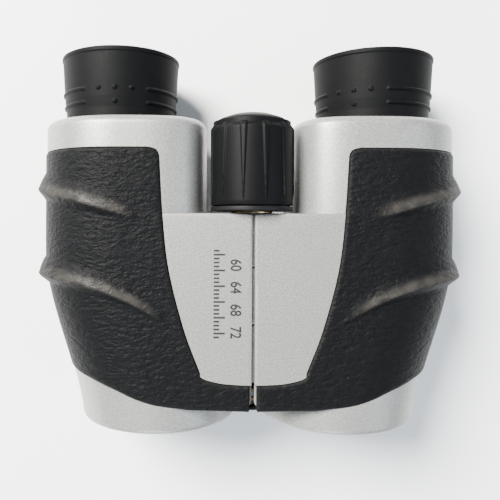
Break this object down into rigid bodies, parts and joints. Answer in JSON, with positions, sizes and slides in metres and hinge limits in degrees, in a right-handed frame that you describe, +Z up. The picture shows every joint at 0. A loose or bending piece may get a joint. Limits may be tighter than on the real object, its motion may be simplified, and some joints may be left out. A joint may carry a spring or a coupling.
{
  "type": "binoculars",
  "caption": "Compact reverse-Porro binoculars with a folding hinge, centre focus knob, rubber armour and round eyecups, lying flat.",
  "frame": {"origin": "middle of the footprint, on the surface that it lies on", "axes": "+Z up through the flat deck, +Y towards the eyepieces, +X across, X = 0 in the hinge plane"},
  "size_m": [0.1144, 0.0984, 0.0463],
  "materials": {
    "silver_shell": "satin metallic paint with a fine sparkle",
    "armour_rubber": "leather-grained soft rubber",
    "eyecup_rubber": "matt rubber",
    "knob_rubber": "satin rubber",
    "black_plastic": "matt black",
    "coated_glass": "green anti-reflection coating",
    "prism_glass": "clear",
    "steel": "brushed",
    "brass": "turned"
  },
  "bodies": {
    "hinge_core": {"hinge_axle": "steel", "hinge_front_cap": "black_plastic", "thrust_washer": "brass"},
    "left_half": {"left_housing": "silver_shell", "left_front_shell": "silver_shell", "left_armour": "armour_rubber", "left_shell_screw_upper": "steel", "left_shell_screw_lower": "steel", "left_objective_bezel": "black_plastic", "left_prism_plate": "black_plastic", "left_plate_screw_upper": "steel", "left_plate_screw_lower": "steel", "left_rear_prism": "prism_glass", "left_front_prism": "prism_glass", "left_rear_prism_clip": "steel", "left_front_prism_clip": "steel", "left_eyepiece_tube": "black_plastic", "left_eye_lens": "coated_glass", "left_eye_lens_ring": "black_plastic", "left_field_lens": "coated_glass", "left_eyecup": "eyecup_rubber"},
    "right_half": {"right_housing": "silver_shell", "right_front_shell": "silver_shell", "right_armour": "armour_rubber", "right_shell_screw_upper": "steel", "right_shell_screw_lower": "steel", "right_objective_bezel": "black_plastic", "right_prism_plate": "black_plastic", "right_plate_screw_upper": "steel", "right_plate_screw_lower": "steel", "right_rear_prism": "prism_glass", "right_front_prism": "prism_glass", "right_rear_prism_clip": "steel", "right_front_prism_clip": "steel"},
    "focus_knob": {"focus_knob_core": "black_plastic", "focus_knob_grip": "knob_rubber", "focus_screw": "steel"},
    "focus_carriage": {"focus_nut": "brass", "focus_collar": "brass", "focus_pin_upper": "steel", "focus_pin_lower": "steel"},
    "left_objective": {"left_objective_cell": "black_plastic", "left_objective_lens": "coated_glass", "left_objective_ring": "black_plastic", "left_focus_arm": "steel"},
    "right_objective": {"right_objective_cell": "black_plastic", "right_objective_lens": "coated_glass", "right_objective_ring": "black_plastic", "right_focus_arm": "steel"},
    "dioptre_turn": {"right_eyecup": "eyecup_rubber", "right_dioptre_sleeve": "black_plastic"},
    "right_eyepiece": {"right_eyepiece_barrel": "black_plastic", "right_eye_lens": "coated_glass", "right_eye_lens_ring": "black_plastic", "right_field_lens": "coated_glass"}
  },
  "joints": [
    {"name": "left_fold", "type": "hinge", "parent": "hinge_core", "child": "left_half", "pos_m": [0, 0, 0.0355], "axis": [0, -1, 0], "range_deg": [0, 15]},
    {"name": "right_fold", "type": "hinge", "parent": "hinge_core", "child": "right_half", "pos_m": [0, 0, 0.0355], "axis": [0, 1, 0], "range_deg": [0, 15]},
    {"name": "focus_turn", "type": "hinge", "parent": "hinge_core", "child": "focus_knob", "pos_m": [0, 0.018, 0.0355], "axis": [0, 1, 0], "range_deg": [-270, 270]},
    {"name": "carriage_slide", "type": "slide", "parent": "hinge_core", "child": "focus_carriage", "axis": [0, 1, 0], "range_m": [-0.0012, 0.0012]},
    {"name": "left_focus_slide", "type": "slide", "parent": "left_half", "child": "left_objective", "axis": [0, 1, 0], "range_m": [-0.0012, 0.0012]},
    {"name": "right_focus_slide", "type": "slide", "parent": "right_half", "child": "right_objective", "axis": [0, 1, 0], "range_m": [-0.0012, 0.0012]},
    {"name": "dioptre_turn", "type": "hinge", "parent": "right_half", "child": "dioptre_turn", "pos_m": [0.036, 0.034, 0.0175], "axis": [0, 1, 0], "range_deg": [-60, 60]},
    {"name": "dioptre_slide", "type": "slide", "parent": "right_half", "child": "right_eyepiece", "axis": [0, 1, 0], "range_m": [-0.00075, 0.00075]}
  ],
  "couplings": [
    {"joint": "right_fold", "follows": "left_fold", "ratio": 1},
    {"joint": "carriage_slide", "follows": "focus_turn", "m_per_rad": 0.00025465},
    {"joint": "left_focus_slide", "follows": "focus_turn", "m_per_rad": 0.00025465},
    {"joint": "right_focus_slide", "follows": "focus_turn", "m_per_rad": 0.00025465},
    {"joint": "dioptre_slide", "follows": "dioptre_turn", "m_per_rad": 0.00072}
  ]
}
